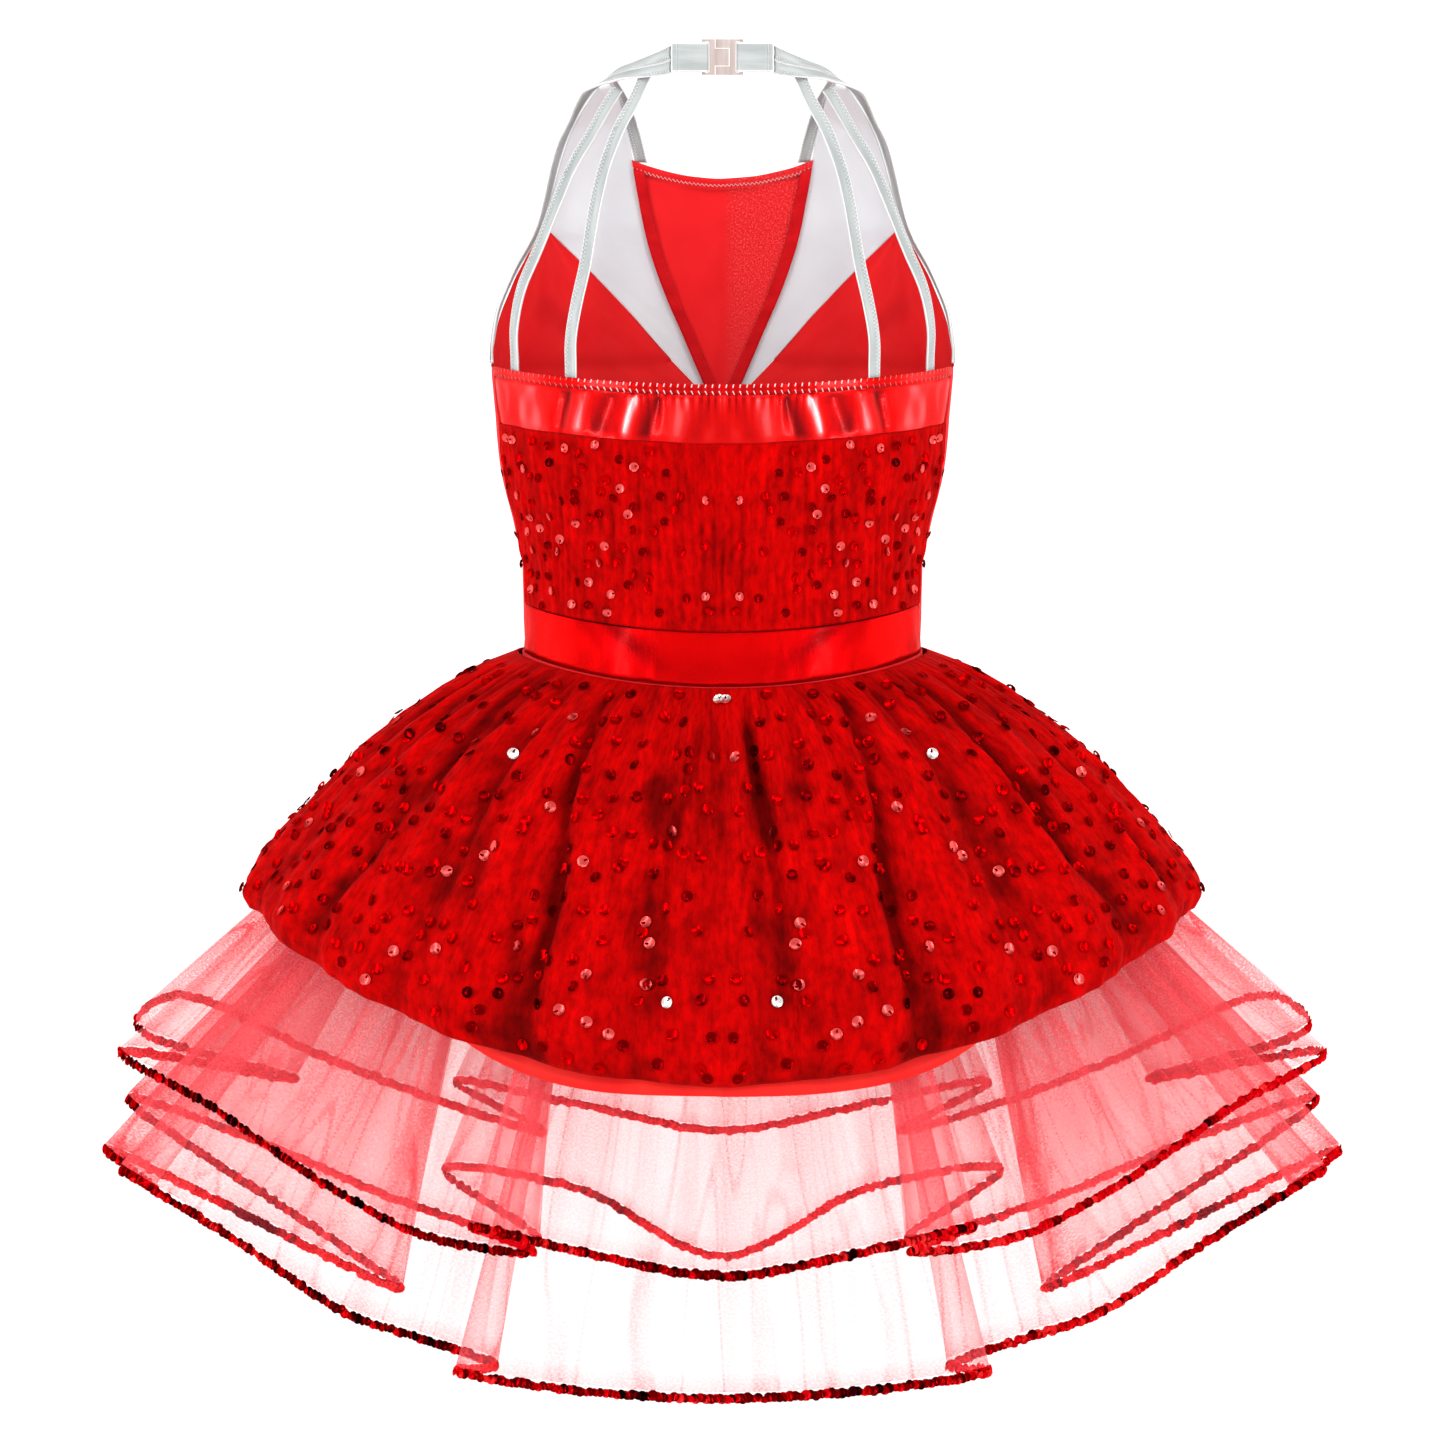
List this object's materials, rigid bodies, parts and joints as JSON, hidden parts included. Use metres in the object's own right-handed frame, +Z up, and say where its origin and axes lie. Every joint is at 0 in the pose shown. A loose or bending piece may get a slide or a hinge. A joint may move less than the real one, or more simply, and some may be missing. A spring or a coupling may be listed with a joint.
{
  "type": "skirted leotard",
  "caption": "Sleeveless halter-neck leotard with crossed white lapels, an open strappy back, a sequinned flared overskirt and braid-edged net tiers.",
  "frame": {"origin": "nape of the neck: middle of the clasp's inner face, where the worn garment hangs", "axes": "+Z up the wearer's spine, +Y the way the wearer faces, +X the wearer's right"},
  "size_m": [0.6378, 0.3633, 0.6699],
  "materials": {
    "red_foil": "metallic foil stretch cloth",
    "red_lycra": "matt stretch cloth",
    "sequin_velvet": "gathered velvet with round sequins",
    "white_satin": "satin",
    "silver_strap": "stitched satin binding",
    "red_net": "net",
    "sequin_braid": "sequin braid",
    "red_lining": "matt",
    "clear_plastic": "clear"
  },
  "bodies": {
    "root": {"back_yoke": "red_foil", "back_sequin_panel": "sequin_velvet", "back_waist": "red_foil", "front_panel": "red_lycra", "lapel_right": "white_satin", "lapel_left": "white_satin", "front_inset": "red_foil", "armhole_binding_right": "silver_strap", "armhole_binding_left": "silver_strap", "neck_binding_right": "silver_strap", "neck_binding_left": "silver_strap", "back_strap_inner_right": "silver_strap", "back_strap_inner_left": "silver_strap", "back_strap_outer_right": "silver_strap", "back_strap_outer_left": "silver_strap", "halter_loop_right": "silver_strap", "halter_loop_left": "silver_strap", "clasp_tongue": "clear_plastic", "clasp_socket": "clear_plastic", "briefs_back": "red_lycra", "briefs_front": "red_lycra", "overskirt_back": "sequin_velvet", "overskirt_front": "sequin_velvet", "skirt_lining": "red_lining", "short_net_back": "red_net", "short_net_front": "red_net", "short_net_braid_back": "sequin_braid", "short_net_braid_front": "sequin_braid", "long_net_back": "red_net", "long_net_front": "red_net", "long_net_braid_back": "sequin_braid", "long_net_braid_front": "sequin_braid"}
  },
  "joints": []
}
